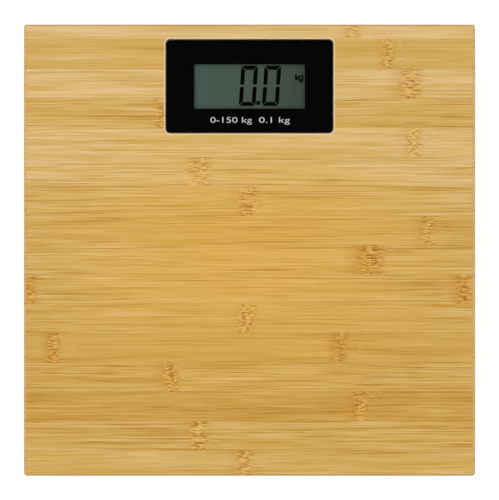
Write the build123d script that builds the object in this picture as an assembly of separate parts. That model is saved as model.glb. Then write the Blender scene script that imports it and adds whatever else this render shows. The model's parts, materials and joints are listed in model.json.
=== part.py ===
from build123d import *
import os

os.makedirs("parts", exist_ok=True)

# A digital bathroom scale: a bamboo platform on four load-cell feet, with a display let into the far end.
# Millimetres. The floor is z = 0, +Z is up, +Y points to the display end, +X to the user's right.

# Platform
BOARD_WIDTH = 300.0
BOARD_DEPTH = 300.0
BOARD_THICKNESS = 12.0
BOARD_CORNER_RADIUS = 2.0
BOARD_EDGE_RADIUS = 1.0
GROUND_GAP = 12.0

# Display lens, let into the platform
DISPLAY_SETBACK = 41.0
LENS_WIDTH = 111.2
LENS_HEIGHT = 62.2
LENS_CORNER_RADIUS = 3.0
LENS_THICKNESS = 2.0
LENS_EDGE_CHAMFER = 0.25
LENS_SINK = 0.2
LENS_GAP = 0.3
CUTOUT_CHAMFER = 0.6
WINDOW_WIDTH = 73.8
WINDOW_HEIGHT = 29.6
WINDOW_CORNER_RADIUS = 0.6
PRINT_THICKNESS = 0.12
PRINT_INSET = 0.3
TAPE_THICKNESS = 0.4
TAPE_INSET = 1.0
TAPE_WIDTH = 7.0

# Display frame behind the lens
FRAME_GAP = 0.4
FRAME_WALL = 1.8
FRAME_PLATE = 0.8
FRAME_OPENING_MARGIN = 1.2
FLANGE_THICKNESS = 2.0
FLANGE_SIDE = 10.5
FLANGE_NEAR = 7.0
FLANGE_FAR = 4.5
FLANGE_CORNER_RADIUS = 5.0
POCKET_GAP = 0.3
FRAME_SCREW_SPREAD = 18.0
FRAME_SCREW_BITE = 5.0
COVER_BOSS_RADIUS = 3.0
COVER_BOSS_INSET = 2.8
BOARD_BOSS_RADIUS = 2.5

# Liquid crystal display
LCD_SIDE_MARGIN = 4.5
LCD_END_MARGIN = 4.2
LCD_LEDGE = 3.2
LCD_GAP = 0.3
LCD_RIB = 1.2
LCD_RIB_FOOT_GAP = 0.6
FILM_THICKNESS = 0.2
GLASS_THICKNESS = 1.1
ZEBRA_WIDTH = 2.2
ZEBRA_END_INSET = 2.0

# Digits of the display
DIGIT_HEIGHT = 26.7
DIGIT_WIDTH = 11.15
DIGIT_PITCH = 15.45
DIGIT_LEFT = -6.3
DIGIT_RISE = 0.55
DIGIT_SLANT = 0.066
DIGIT_CORNER_CUT = 1.15
SEGMENT_WIDTH = 2.65
SEGMENT_GAP = 0.28
SEGMENT_TIP = 0.7
SEGMENT_MIDDLE_GAP = 0.45
SEGMENT_THICKNESS = 0.05
POINT_SIZE = 2.5
POINT_LEFT = 5.3
POINT_RISE = 0.7

# Circuit board
CIRCUIT_THICKNESS = 1.6
CIRCUIT_SIDE_ROOM = 0.8
CIRCUIT_END_ROOM = 1.0
CIRCUIT_SCREW_INSET = 3.5
BLOB_RADIUS = 6.0
BLOB_HEIGHT = 1.3
BLOB_WALL = 0.2
BLOB_PLACE = (20.0, 12.0)
CHIP_LENGTH = 2.0
CHIP_WIDTH = 1.25
CHIP_HEIGHT = 0.7
CHIP_PLACES = [(31.0, 16.0), (31.0, 12.0), (31.0, 8.0), (36.0, 16.0), (36.0, 12.0), (8.0, 16.0)]

# Leads, and the grooves that they lie in
LEAD_DIAMETER = 1.0
LEAD_PITCH = 1.3
LEAD_COVER = 0.1
LEAD_BEND = 14.0
LEAD_RUN_X = 24.0
LEAD_UNDER_CIRCUIT = 4.0
GROOVE_SIDE_ROOM = 0.5
GROOVE_TOP_ROOM = 0.5
SOLDER_RADIUS = 0.6
SOLDER_FILM = 0.1
TAPE_PATCH_LENGTH = 14.0
TAPE_PATCH_WIDTH = 10.0
TAPE_PATCH_THICKNESS = 0.2
TAPE_PATCH_SHARES = [0.25, 0.75]
TAPE_SIDE_SHARE = 0.5

# Rear cover
RIM_AIR = 0.3
COVER_WALL = 2.0
COVER_FLOOR = 1.8
COVER_EDGE_RADIUS = 1.2
COVER_POST_RADIUS = 3.6
COVER_HEAD_SINK = 0.5

# Coin cell, its bay in the rear cover, and the hinged lid
BAY_PLACE = (-16.0, 0.0)
COIN_RADIUS = 10.0
COIN_HEIGHT = 3.2
COIN_CAP_RADIUS = 8.8
COIN_CAP_HEIGHT = 0.4
NEST_GAP = 0.3
NEST_WALL = 1.4
BAY_WALL = 1.4
BAY_CEILING = 0.9
BAY_AIR = 0.3
CONTACT_ROOM = 0.6
CONTACT_THICKNESS = 0.3
CONTACT_WIDTH = 4.0
CONTACT_DIMPLE_RADIUS = 1.5
CONTACT_REACH = 8.0
CONTACT_SLOT_GAP = 0.2
CONTACT_SIDE_GAP = 0.05
LID_WIDTH = 27.0
LID_LENGTH = 31.0
LID_THICKNESS = 1.6
LID_GAP = 0.3
LID_RIB = 0.6
LID_RIB_WIDTH = 1.2
LID_RIB_LENGTH = 11.0
LID_RIB_SPREAD = 4.0
HINGE_BARREL_RADIUS = 1.6
HINGE_PIN_RADIUS = 0.8
HINGE_PIN_REACH = 1.2
HINGE_FIT = 0.06
LATCH_WIDTH = 8.0
LATCH_THICKNESS = 1.0
LATCH_HEIGHT = 2.0
LATCH_INSET = 0.2
SCOOP_WIDTH = 12.0
SCOOP_LENGTH = 4.0
SCOOP_DEPTH = 1.0

# Unit button and its switch
BUTTON_PLACE = (20.0, -8.0)
BUTTON_RADIUS = 4.0
BUTTON_GAP = 0.35
BUTTON_SINK = 0.3
BUTTON_LIP = 1.0
BUTTON_LIP_HEIGHT = 1.0
BUTTON_PLAY = 0.1
BUTTON_STEM_RADIUS = 2.0
BUTTON_COLLAR_WALL = 1.2
SWITCH_SIDE = 6.0
SWITCH_HEIGHT = 2.2
PLUNGER_RADIUS = 1.7
PLUNGER_FIT = 0.08
PLUNGER_SHOW = 0.9
PLUNGER_DEPTH = 0.6
PLUNGER_TRAVEL_ROOM = 0.6

# Feet
FOOT_INSET = 36.0
HOLDER_RADIUS = 27.0
HOLDER_WALL = 2.2
HOLDER_PLATE = 2.0
HOLDER_SINK = 4.0
HOLDER_LIP = 1.2
HOLDER_LIP_HEIGHT = 1.2
HOLDER_FLOOR_GAP = 3.4
HOLDER_EDGE_RADIUS = 0.8
HOLDER_SCREW_BITE = 6.0
HOLDER_STOP_LENGTH = 4.0
HOLDER_STOP_WIDTH = 1.6
HOLDER_STOP_SPREAD = 8.5
CELL_DROP = 0.6
CELL_SIDE = 34.0
CELL_THICKNESS = 2.0
CELL_CORNER_RADIUS = 4.0
CELL_FRAME = 5.0
CELL_GAP = 0.25
TONGUE_WIDTH = 10.0
TONGUE_HEAD_WIDTH = 18.0
TONGUE_HEAD_LENGTH = 8.0
GAUGE_LENGTH = 7.0
GAUGE_WIDTH = 8.0
GAUGE_HEIGHT = 2.2
GAUGE_CORNER_RADIUS = 2.0
GAUGE_CHAMFER = 0.3
FOOT_GAP = 0.4
FOOT_LIP_GAP = 0.4
FOOT_FLANGE = 1.4
FOOT_FLOOR = 1.6
FOOT_RIM = 2.4
FOOT_RIB = 1.6
FOOT_BOSS_RADIUS = 3.6
FOOT_EDGE_RADIUS = 0.8
PAD_RADIUS = 19.5
PAD_THICKNESS = 2.2
PAD_SINK = 0.8
PAD_GAP = 0.1
PAD_GROOVE_WIDTH = 1.6
PAD_GROOVE_DEPTH = 0.7
PAD_GROOVE_RADII = [7.0, 13.0]
FOOT_SIDES = {
    "front_left": (-1, -1),
    "front_right": (1, -1),
    "rear_left": (-1, 1),
    "rear_right": (1, 1),
}

# Screws
WOOD_SCREW_RADIUS = 1.5
WOOD_SCREW_HEAD_RADIUS = 2.6
WOOD_SCREW_HEAD = 1.6
COVER_SCREW_RADIUS = 1.3
COVER_SCREW_HEAD_RADIUS = 2.4
COVER_SCREW_HEAD = 1.6
CIRCUIT_SCREW_RADIUS = 1.0
CIRCUIT_SCREW_HEAD_RADIUS = 1.9
CIRCUIT_SCREW_HEAD = 1.2
SCREW_FIT = 0.05
SCREW_ROOM = 0.2
SCREW_TIP = 1.5
SCREW_TIP_RADIUS = 0.3
SCREW_END_ROOM = 0.8
CROSS_WIDTH_SHARE = 0.26
CROSS_LENGTH_SHARE = 1.15
CROSS_DEPTH_SHARE = 0.5

# Heights, from the floor up
UNDERSIDE = GROUND_GAP
TOP = UNDERSIDE + BOARD_THICKNESS
LENS_TOP = TOP - LENS_SINK
LENS_BOTTOM = LENS_TOP - LENS_THICKNESS
PRINT_BOTTOM = LENS_BOTTOM - PRINT_THICKNESS
PLATE_TOP = PRINT_BOTTOM - TAPE_THICKNESS
PLATE_BOTTOM = PLATE_TOP - FRAME_PLATE
FRONT_GLASS_TOP = PLATE_BOTTOM - FILM_THICKNESS
FRONT_GLASS_BOTTOM = FRONT_GLASS_TOP - GLASS_THICKNESS
REAR_GLASS_BOTTOM = FRONT_GLASS_BOTTOM - GLASS_THICKNESS
REFLECTOR_BOTTOM = REAR_GLASS_BOTTOM - FILM_THICKNESS
LEAD_LEVEL = UNDERSIDE + LEAD_COVER + LEAD_DIAMETER / 2
CIRCUIT_BOTTOM = LEAD_LEVEL + LEAD_DIAMETER / 2 + SOLDER_FILM
CIRCUIT_TOP = CIRCUIT_BOTTOM + CIRCUIT_THICKNESS
FLANGE_BOTTOM = LEAD_LEVEL + LEAD_DIAMETER / 2 + RIM_AIR
FLANGE_TOP = FLANGE_BOTTOM + FLANGE_THICKNESS
GROOVE_TOP = LEAD_LEVEL + LEAD_DIAMETER / 2 + GROOVE_TOP_ROOM
BAY_TOP = CIRCUIT_BOTTOM - BAY_AIR
BAY_ROOF = BAY_TOP - BAY_CEILING
COIN_TOP = BAY_ROOF - CONTACT_ROOM
COIN_BOTTOM = COIN_TOP - COIN_HEIGHT
LID_TOP = COIN_BOTTOM - LID_RIB
COVER_BOTTOM = LID_TOP - LID_THICKNESS
COVER_FLOOR_TOP = COVER_BOTTOM + COVER_FLOOR
HOLDER_TOP = UNDERSIDE + HOLDER_SINK
HOLDER_PLATE_BOTTOM = HOLDER_TOP - HOLDER_PLATE
CELL_TOP = UNDERSIDE - CELL_DROP
CELL_BOTTOM = CELL_TOP - CELL_THICKNESS
HOLDER_BOTTOM = HOLDER_FLOOR_GAP
HOLDER_LIP_TOP = HOLDER_BOTTOM + HOLDER_LIP_HEIGHT
FOOT_BOTTOM = PAD_THICKNESS - PAD_SINK
FOOT_FLANGE_BOTTOM = HOLDER_LIP_TOP + FOOT_LIP_GAP
FOOT_FLANGE_TOP = FOOT_FLANGE_BOTTOM + FOOT_FLANGE

# Outlines that follow from the sizes above
DISPLAY_Y = BOARD_DEPTH / 2 - DISPLAY_SETBACK
CUTOUT_WIDTH = LENS_WIDTH + 2 * LENS_GAP
CUTOUT_HEIGHT = LENS_HEIGHT + 2 * LENS_GAP
CUTOUT_RADIUS = LENS_CORNER_RADIUS + LENS_GAP
TOWER_WIDTH = CUTOUT_WIDTH - 2 * FRAME_GAP
TOWER_HEIGHT = CUTOUT_HEIGHT - 2 * FRAME_GAP
TOWER_RADIUS = CUTOUT_RADIUS - FRAME_GAP
TOWER_ROOM_WIDTH = TOWER_WIDTH - 2 * FRAME_WALL
TOWER_ROOM_HEIGHT = TOWER_HEIGHT - 2 * FRAME_WALL
TOWER_ROOM_RADIUS = TOWER_RADIUS - FRAME_WALL
FLANGE_WIDTH = TOWER_WIDTH + 2 * FLANGE_SIDE
FLANGE_HEIGHT = TOWER_HEIGHT + FLANGE_NEAR + FLANGE_FAR
FLANGE_Y = DISPLAY_Y + (FLANGE_FAR - FLANGE_NEAR) / 2
COVER_ROOM_WIDTH = FLANGE_WIDTH - 2 * COVER_WALL
COVER_ROOM_HEIGHT = FLANGE_HEIGHT - 2 * COVER_WALL
LCD_WIDTH = WINDOW_WIDTH + 2 * LCD_SIDE_MARGIN
LCD_HEIGHT = WINDOW_HEIGHT + 2 * LCD_END_MARGIN
COVER_SCREW_ROOM = COVER_BOSS_INSET + max(COVER_BOSS_RADIUS, COVER_POST_RADIUS) + CIRCUIT_SIDE_ROOM
CIRCUIT_WIDTH = TOWER_ROOM_WIDTH - 2 * COVER_SCREW_ROOM
CIRCUIT_HEIGHT = TOWER_ROOM_HEIGHT - 2 * CIRCUIT_END_ROOM
GROOVE_WIDTH = 2 * LEAD_PITCH + LEAD_DIAMETER + 2 * GROOVE_SIDE_ROOM
BAY_X = BAY_PLACE[0]
BAY_Y = DISPLAY_Y + BAY_PLACE[1]
BAY_ROOM_WIDTH = LID_WIDTH + 2 * LID_GAP
BAY_ROOM_LENGTH = LID_LENGTH + 2 * LID_GAP
HINGE_Y = BAY_Y + LID_LENGTH / 2 - HINGE_BARREL_RADIUS
HINGE_Z = COVER_BOTTOM + HINGE_BARREL_RADIUS
BUTTON_X = BUTTON_PLACE[0]
BUTTON_Y = DISPLAY_Y + BUTTON_PLACE[1]
HOLDER_ROOM_RADIUS = HOLDER_RADIUS - HOLDER_WALL
HOLDER_MOUTH_RADIUS = HOLDER_ROOM_RADIUS - HOLDER_LIP
HOLDER_SCREW_REACH = (CELL_SIDE / 2 + HOLDER_ROOM_RADIUS) / 2
FOOT_X = BOARD_WIDTH / 2 - FOOT_INSET
FOOT_Y = BOARD_DEPTH / 2 - FOOT_INSET
GAUGE_X = CELL_SIDE / 2 - CELL_FRAME - GAUGE_LENGTH / 2

# Places of the screws around the display
COVER_SCREW_X = TOWER_ROOM_WIDTH / 2 - COVER_BOSS_INSET
COVER_SCREW_Y = TOWER_ROOM_HEIGHT / 2 - COVER_BOSS_INSET
FRAME_SCREW_X = TOWER_WIDTH / 2 + FLANGE_SIDE / 2
CIRCUIT_SCREW_X = CIRCUIT_WIDTH / 2 - CIRCUIT_SCREW_INSET
CIRCUIT_SCREW_Y = CIRCUIT_HEIGHT / 2 - CIRCUIT_SCREW_INSET


def slab(width, depth, radius, bottom, top, x=0.0, y=0.0):
    """A plate with rounded upright corners, between two heights."""
    return Pos(x, y, bottom) * extrude(RectangleRounded(width, depth, radius), amount=top - bottom)


def block(width, depth, bottom, top, x=0.0, y=0.0):
    """A square-cornered block between two heights."""
    return Pos(x, y, (bottom + top) / 2) * Box(width, depth, top - bottom)


def post(radius, bottom, top, x=0.0, y=0.0):
    """An upright cylinder between two heights."""
    return Pos(x, y, (bottom + top) / 2) * Cylinder(radius, top - bottom)


def tube(outer, inner, bottom, top, x=0.0, y=0.0):
    """An upright ring between two heights."""
    return post(outer, bottom, top, x, y) - post(inner, bottom, top, x, y)


def four_corners(x, y):
    """The four places at plus and minus x and y around the display's middle."""
    return [(side_x * x, DISPLAY_Y + side_y * y) for side_x in (-1, 1) for side_y in (-1, 1)]


def group(shapes):
    """Separate solids that share one node."""
    return Compound([solid for shape in shapes for solid in shape.solids()])


def save(name, shape):
    """Write one node."""
    export_step(shape, "parts/" + name + ".step")


def foot_place(side_x, side_y):
    """Where a foot stands, turned so that its leads come out towards the middle."""
    turn = 180 if side_x > 0 else 0
    return Pos(side_x * FOOT_X, side_y * FOOT_Y, 0) * Rot(0, 0, turn)


def on_each_foot(shape):
    """Copies of a shape made at the origin, one at each foot."""
    return [foot_place(*sides) * shape for sides in FOOT_SIDES.values()]


def screw(shank, head, head_height, length):
    """A cross-head screw that points up, with the seat of its head at the origin."""
    cross_width = head * CROSS_WIDTH_SHARE
    cross_length = head * CROSS_LENGTH_SHARE
    cross_top = head_height * CROSS_DEPTH_SHARE - head_height
    cap = post(head, -head_height, 0)
    cap = fillet(cap.faces().sort_by(Axis.Z)[0].edges(), head_height / 2)
    point = Pos(0, 0, length - SCREW_TIP / 2) * Cone(shank, SCREW_TIP_RADIUS, SCREW_TIP)
    body = cap + post(shank, 0, length - SCREW_TIP) + point
    for turn in (0, 90):
        body -= Rot(0, 0, turn) * block(cross_length, cross_width, -head_height, cross_top)
    return body


def lead_route(side_x, side_y, offset):
    """The line of one lead, from its load cell to its pad under the circuit board."""
    start_x = side_x * (FOOT_X - GAUGE_X - GAUGE_LENGTH / 2)
    run_y = side_y * FOOT_Y + offset
    if side_y > 0:
        end_x = side_x * (CIRCUIT_WIDTH / 2 - LEAD_UNDER_CIRCUIT)
        return Line((start_x, run_y, LEAD_LEVEL), (end_x, run_y, LEAD_LEVEL))
    run_x = side_x * (LEAD_RUN_X + offset)
    end_y = DISPLAY_Y - CIRCUIT_HEIGHT / 2 + LEAD_UNDER_CIRCUIT
    corners = [(start_x, run_y, LEAD_LEVEL), (run_x, run_y, LEAD_LEVEL), (run_x, end_y, LEAD_LEVEL)]
    return FilletPolyline(*corners, radius=LEAD_BEND - offset)


def along(route, section):
    """Sweep a flat section along a route."""
    start = Plane(origin=route @ 0, z_dir=route % 0, x_dir=(0, 0, 1))
    return sweep(start * section, path=route)


def groove(side_x, side_y):
    """The room for one foot's three leads, cut up into the platform."""
    height = GROOVE_TOP - UNDERSIDE
    route = lead_route(side_x, side_y, 0)
    section = Pos(UNDERSIDE + height / 2 - LEAD_LEVEL, 0) * Rectangle(height, GROOVE_WIDTH)
    return along(route, section)


def board_pockets():
    """Everything that is cut out of the platform."""
    cuts = [slab(CUTOUT_WIDTH, CUTOUT_HEIGHT, CUTOUT_RADIUS, UNDERSIDE, TOP, 0, DISPLAY_Y)]
    pocket_radius = FLANGE_CORNER_RADIUS + POCKET_GAP
    pocket_width = FLANGE_WIDTH + 2 * POCKET_GAP
    pocket_height = FLANGE_HEIGHT + 2 * POCKET_GAP
    cuts.append(slab(pocket_width, pocket_height, pocket_radius, UNDERSIDE, FLANGE_TOP, 0, FLANGE_Y))
    hole = WOOD_SCREW_RADIUS + SCREW_FIT
    frame_hole_top = FLANGE_TOP + FRAME_SCREW_BITE + SCREW_FIT
    for x, y in four_corners(FRAME_SCREW_X, FRAME_SCREW_SPREAD):
        cuts.append(post(hole, FLANGE_TOP, frame_hole_top, x, y))
    cuts += on_each_foot(post(HOLDER_RADIUS + POCKET_GAP, UNDERSIDE, HOLDER_TOP))
    holder_hole_top = HOLDER_TOP + HOLDER_SCREW_BITE + SCREW_FIT
    for side in (-1, 1):
        cuts += on_each_foot(post(hole, HOLDER_TOP, holder_hole_top, 0, side * HOLDER_SCREW_REACH))
    cuts += [groove(*sides) for sides in FOOT_SIDES.values()]
    return cuts


def bamboo_board():
    """The platform, eased all round, with the display cut-out chamfered on top."""
    board = slab(BOARD_WIDTH, BOARD_DEPTH, BOARD_CORNER_RADIUS, UNDERSIDE, TOP)
    rims = board.faces().filter_by(Axis.Z).edges()
    board = fillet(rims, BOARD_EDGE_RADIUS)
    for cut in board_pockets():
        board -= cut
    throat = RectangleRounded(CUTOUT_WIDTH, CUTOUT_HEIGHT, CUTOUT_RADIUS)
    mouth_width = CUTOUT_WIDTH + 2 * CUTOUT_CHAMFER
    mouth_height = CUTOUT_HEIGHT + 2 * CUTOUT_CHAMFER
    mouth = RectangleRounded(mouth_width, mouth_height, CUTOUT_RADIUS + CUTOUT_CHAMFER)
    slope = loft([Pos(0, DISPLAY_Y, TOP - CUTOUT_CHAMFER) * throat, Pos(0, DISPLAY_Y, TOP) * mouth])
    return board - slope


def display_lens():
    """The clear plate over the display."""
    lens = slab(LENS_WIDTH, LENS_HEIGHT, LENS_CORNER_RADIUS, LENS_BOTTOM, LENS_TOP, 0, DISPLAY_Y)
    return chamfer(lens.faces().sort_by(Axis.Z)[-1].edges(), LENS_EDGE_CHAMFER)


def lens_print():
    """The black print on the back of the lens, open at the window."""
    width = LENS_WIDTH - 2 * PRINT_INSET
    height = LENS_HEIGHT - 2 * PRINT_INSET
    radius = LENS_CORNER_RADIUS - PRINT_INSET
    film = slab(width, height, radius, PRINT_BOTTOM, LENS_BOTTOM, 0, DISPLAY_Y)
    window = (WINDOW_WIDTH, WINDOW_HEIGHT, WINDOW_CORNER_RADIUS)
    return film - slab(*window, PRINT_BOTTOM, LENS_BOTTOM, 0, DISPLAY_Y)


def lens_tape():
    """The foam tape ring that holds the lens to the frame."""
    width = TOWER_WIDTH - 2 * TAPE_INSET
    height = TOWER_HEIGHT - 2 * TAPE_INSET
    ring = slab(width, height, TOWER_RADIUS - TAPE_INSET, PLATE_TOP, PRINT_BOTTOM, 0, DISPLAY_Y)
    opening = (width - 2 * TAPE_WIDTH, height - 2 * TAPE_WIDTH)
    return ring - block(*opening, PLATE_TOP, PRINT_BOTTOM, 0, DISPLAY_Y)


def display_frame():
    """The frame that hangs in the cut-out and carries display, circuit board and cover."""
    flange = (FLANGE_WIDTH, FLANGE_HEIGHT, FLANGE_CORNER_RADIUS)
    frame = slab(*flange, FLANGE_BOTTOM, FLANGE_TOP, 0, FLANGE_Y)
    frame += slab(TOWER_WIDTH, TOWER_HEIGHT, TOWER_RADIUS, FLANGE_BOTTOM, PLATE_TOP, 0, DISPLAY_Y)
    room = (TOWER_ROOM_WIDTH, TOWER_ROOM_HEIGHT, TOWER_ROOM_RADIUS)
    frame -= slab(*room, FLANGE_BOTTOM, PLATE_BOTTOM, 0, DISPLAY_Y)
    opening_width = WINDOW_WIDTH + 2 * FRAME_OPENING_MARGIN
    opening_height = WINDOW_HEIGHT + 2 * FRAME_OPENING_MARGIN
    frame -= block(opening_width, opening_height, PLATE_BOTTOM, PLATE_TOP, 0, DISPLAY_Y)
    rib_bottom = CIRCUIT_TOP + LCD_RIB_FOOT_GAP
    nest_width = LCD_WIDTH + 2 * LCD_GAP
    nest_height = LCD_HEIGHT + 2 * LCD_GAP
    rib_size = (nest_width + 2 * LCD_RIB, nest_height + 2 * LCD_RIB)
    rib = block(*rib_size, rib_bottom, PLATE_BOTTOM, 0, DISPLAY_Y)
    frame += rib - block(nest_width, nest_height, rib_bottom, PLATE_BOTTOM, 0, DISPLAY_Y)
    for x, y in four_corners(COVER_SCREW_X, COVER_SCREW_Y):
        frame += post(COVER_BOSS_RADIUS, FLANGE_BOTTOM, PLATE_BOTTOM, x, y)
        frame -= post(COVER_SCREW_RADIUS + SCREW_FIT, FLANGE_BOTTOM, PLATE_BOTTOM, x, y)
    for x, y in four_corners(CIRCUIT_SCREW_X, CIRCUIT_SCREW_Y):
        frame += post(BOARD_BOSS_RADIUS, CIRCUIT_TOP, PLATE_BOTTOM, x, y)
        frame -= post(CIRCUIT_SCREW_RADIUS + SCREW_FIT, CIRCUIT_TOP, PLATE_BOTTOM, x, y)
    for x, y in four_corners(FRAME_SCREW_X, FRAME_SCREW_SPREAD):
        frame -= post(WOOD_SCREW_RADIUS + SCREW_ROOM, FLANGE_BOTTOM, FLANGE_TOP, x, y)
    return frame


def segment_face(points):
    """One display segment from its corners, leaning with the digits."""
    leaning = [(x + y * DIGIT_SLANT, y) for x, y in points]
    return make_face(Polyline(*leaning, close=True))


def zero_segments(left):
    """The six lit segments of a zero with cut corners and slanting gaps, whose left edge is at left."""
    near = (DIGIT_CORNER_CUT - SEGMENT_GAP) / 2
    far = (DIGIT_CORNER_CUT + SEGMENT_GAP) / 2
    bar_end = [(DIGIT_CORNER_CUT, 0), (far, near), (SEGMENT_WIDTH + SEGMENT_GAP, SEGMENT_WIDTH)]
    right = left + DIGIT_WIDTH
    shoulder = SEGMENT_MIDDLE_GAP + SEGMENT_TIP
    faces = []
    for end, up in ((-DIGIT_HEIGHT / 2, 1), (DIGIT_HEIGHT / 2, -1)):
        bar = [(left + x, end + up * y) for x, y in bar_end]
        bar += [(right - x, end + up * y) for x, y in reversed(bar_end)]
        faces.append(segment_face(bar))
        for edge, inward in ((left, 1), (right, -1)):
            side = [(edge + inward * y, end + up * x) for x, y in bar_end]
            side.append((edge + inward * SEGMENT_WIDTH, -up * shoulder))
            side.append((edge + inward * SEGMENT_WIDTH / 2, -up * SEGMENT_MIDDLE_GAP))
            side.append((edge, -up * shoulder))
            faces.append(segment_face(side))
    return faces


def lcd_segments():
    """The reading of an empty scale: two zeros and the point between them."""
    faces = zero_segments(DIGIT_LEFT) + zero_segments(DIGIT_LEFT + DIGIT_PITCH)
    low = POINT_RISE - DIGIT_HEIGHT / 2
    right = POINT_LEFT + POINT_SIZE
    high = low + POINT_SIZE
    faces.append(segment_face([(POINT_LEFT, low), (right, low), (right, high), (POINT_LEFT, high)]))
    place = Pos(0, DISPLAY_Y + DIGIT_RISE, PLATE_BOTTOM)
    return group([place * extrude(face, amount=SEGMENT_THICKNESS, dir=(0, 0, 1)) for face in faces])


def lcd_layer(height, bottom, top):
    """One sheet of the display cell."""
    return block(LCD_WIDTH, height, bottom, top, 0, DISPLAY_Y)


def zebra_strips():
    """The two rubber connectors between the display's ledges and the circuit board."""
    length = LCD_WIDTH - 2 * ZEBRA_END_INSET
    reach = LCD_HEIGHT / 2 - LCD_LEDGE / 2
    strips = []
    for side in (-1, 1):
        y = DISPLAY_Y + side * reach
        strips.append(block(length, ZEBRA_WIDTH, CIRCUIT_TOP, FRONT_GLASS_BOTTOM, 0, y))
    return group(strips)


def circuit_board():
    """The circuit board, with its four screw holes."""
    board = block(CIRCUIT_WIDTH, CIRCUIT_HEIGHT, CIRCUIT_BOTTOM, CIRCUIT_TOP, 0, DISPLAY_Y)
    for x, y in four_corners(CIRCUIT_SCREW_X, CIRCUIT_SCREW_Y):
        board -= post(CIRCUIT_SCREW_RADIUS + SCREW_ROOM, CIRCUIT_BOTTOM, CIRCUIT_TOP, x, y)
    return board


def controller_blob():
    """The resin drop over the controller chip."""
    x, y = BLOB_PLACE
    drop = post(BLOB_RADIUS, CIRCUIT_BOTTOM - BLOB_HEIGHT, CIRCUIT_BOTTOM, x, DISPLAY_Y + y)
    return fillet(drop.faces().sort_by(Axis.Z)[0].edges(), BLOB_HEIGHT - BLOB_WALL)


def board_components():
    """The small chip parts under the circuit board."""
    chip = block(CHIP_LENGTH, CHIP_WIDTH, CIRCUIT_BOTTOM - CHIP_HEIGHT, CIRCUIT_BOTTOM)
    return group([Pos(x, DISPLAY_Y + y) * chip for x, y in CHIP_PLACES])


def switch_body():
    """The push switch under the circuit board, bored for its plunger."""
    bottom = CIRCUIT_BOTTOM - SWITCH_HEIGHT
    body = block(SWITCH_SIDE, SWITCH_SIDE, bottom, CIRCUIT_BOTTOM, BUTTON_X, BUTTON_Y)
    bore_top = bottom + PLUNGER_DEPTH + PLUNGER_TRAVEL_ROOM
    return body - post(PLUNGER_RADIUS + PLUNGER_FIT, bottom, bore_top, BUTTON_X, BUTTON_Y)


def switch_plunger():
    """The moving stud of the switch."""
    bottom = CIRCUIT_BOTTOM - SWITCH_HEIGHT
    return post(PLUNGER_RADIUS, bottom - PLUNGER_SHOW, bottom + PLUNGER_DEPTH, BUTTON_X, BUTTON_Y)


def unit_button():
    """The push cap in the rear cover, with a lip that keeps it in and a stem up to the switch."""
    lip_bottom = COVER_FLOOR_TOP + BUTTON_PLAY
    lip_top = lip_bottom + BUTTON_LIP_HEIGHT
    stem_top = CIRCUIT_BOTTOM - SWITCH_HEIGHT - PLUNGER_SHOW
    cap = post(BUTTON_RADIUS, COVER_BOTTOM + BUTTON_SINK, lip_bottom, BUTTON_X, BUTTON_Y)
    cap = fillet(cap.faces().sort_by(Axis.Z)[0].edges(), BUTTON_SINK)
    cap += post(BUTTON_RADIUS + BUTTON_LIP, lip_bottom, lip_top, BUTTON_X, BUTTON_Y)
    return cap + post(BUTTON_STEM_RADIUS, lip_bottom, stem_top, BUTTON_X, BUTTON_Y)


def battery_bay():
    """The walls and roof of the battery bay, with the round nest for the coin cell."""
    outer_width = BAY_ROOM_WIDTH + 2 * BAY_WALL
    outer_length = BAY_ROOM_LENGTH + 2 * BAY_WALL
    bay = block(outer_width, outer_length, COVER_BOTTOM, BAY_TOP, BAY_X, BAY_Y)
    bay -= block(BAY_ROOM_WIDTH, BAY_ROOM_LENGTH, COVER_BOTTOM, BAY_ROOF, BAY_X, BAY_Y)
    nest_inner = COIN_RADIUS + NEST_GAP
    nest = tube(nest_inner + NEST_WALL, nest_inner, COIN_BOTTOM, BAY_ROOF, BAY_X, BAY_Y)
    slot_width = CONTACT_WIDTH + 2 * CONTACT_SLOT_GAP
    slot_thickness = CONTACT_THICKNESS + 2 * CONTACT_SLOT_GAP
    side_slot_x = BAY_X + COIN_RADIUS + CONTACT_SIDE_GAP + CONTACT_THICKNESS / 2
    nest_slot_x = BAY_X + nest_inner + NEST_WALL / 2
    bay += nest
    bay -= block(2 * NEST_WALL, slot_width, COIN_BOTTOM, BAY_ROOF, nest_slot_x, BAY_Y)
    bay -= block(slot_thickness, slot_width, BAY_ROOF, BAY_TOP, side_slot_x, BAY_Y)
    tab_y = BAY_Y + CONTACT_REACH - CONTACT_THICKNESS / 2
    bay -= block(slot_width, slot_thickness, BAY_ROOF, BAY_TOP, BAY_X, tab_y)
    return bay


def hinge_rod(radius, length):
    """A cylinder along the lid's hinge line."""
    return Pos(BAY_X, HINGE_Y, HINGE_Z) * Rot(0, 90, 0) * Cylinder(radius, length)


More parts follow.
